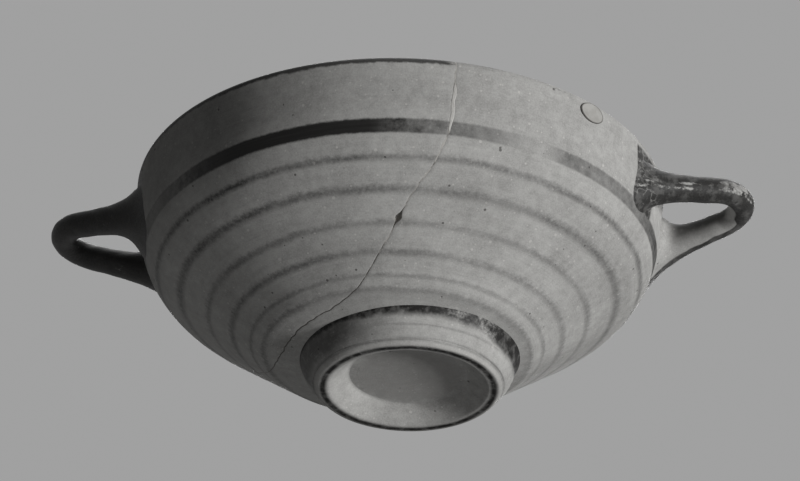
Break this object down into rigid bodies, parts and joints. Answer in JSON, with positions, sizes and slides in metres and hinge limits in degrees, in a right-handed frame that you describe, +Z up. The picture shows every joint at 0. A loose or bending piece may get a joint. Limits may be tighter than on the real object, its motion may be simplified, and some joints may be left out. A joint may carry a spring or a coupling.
{
  "type": "two-handled drinking cup",
  "caption": "Wide shallow two-handled clay drinking cup on a low ring foot, painted with dark bands and mended along an old break.",
  "frame": {"origin": "the point on the resting plane below the middle of the whole cup: the bowl's axis, where it meets the plane that the foot stands on", "axes": "+Z up along the bowl's axis, +X through one handle, -Y towards the side with the mended break"},
  "size_m": [0.2426, 0.18, 0.075],
  "materials": {
    "clay_body": "fired clay with worn dark slip bands",
    "clay_foot": "fired clay, worn",
    "handle_slip": "fired clay under dark slip",
    "mend_glue": "aged glue line",
    "mend_plaster": "matt plaster",
    "label_paper": "aged paper, bare"
  },
  "bodies": {
    "root": {"bowl_main": "clay_body", "bowl_left_sherd": "clay_body", "foot_ring": "clay_foot", "handle_left": "handle_slip", "handle_right": "handle_slip", "mend_seam": "mend_glue", "crack_fill": "mend_plaster", "wall_label": "label_paper"}
  },
  "joints": []
}
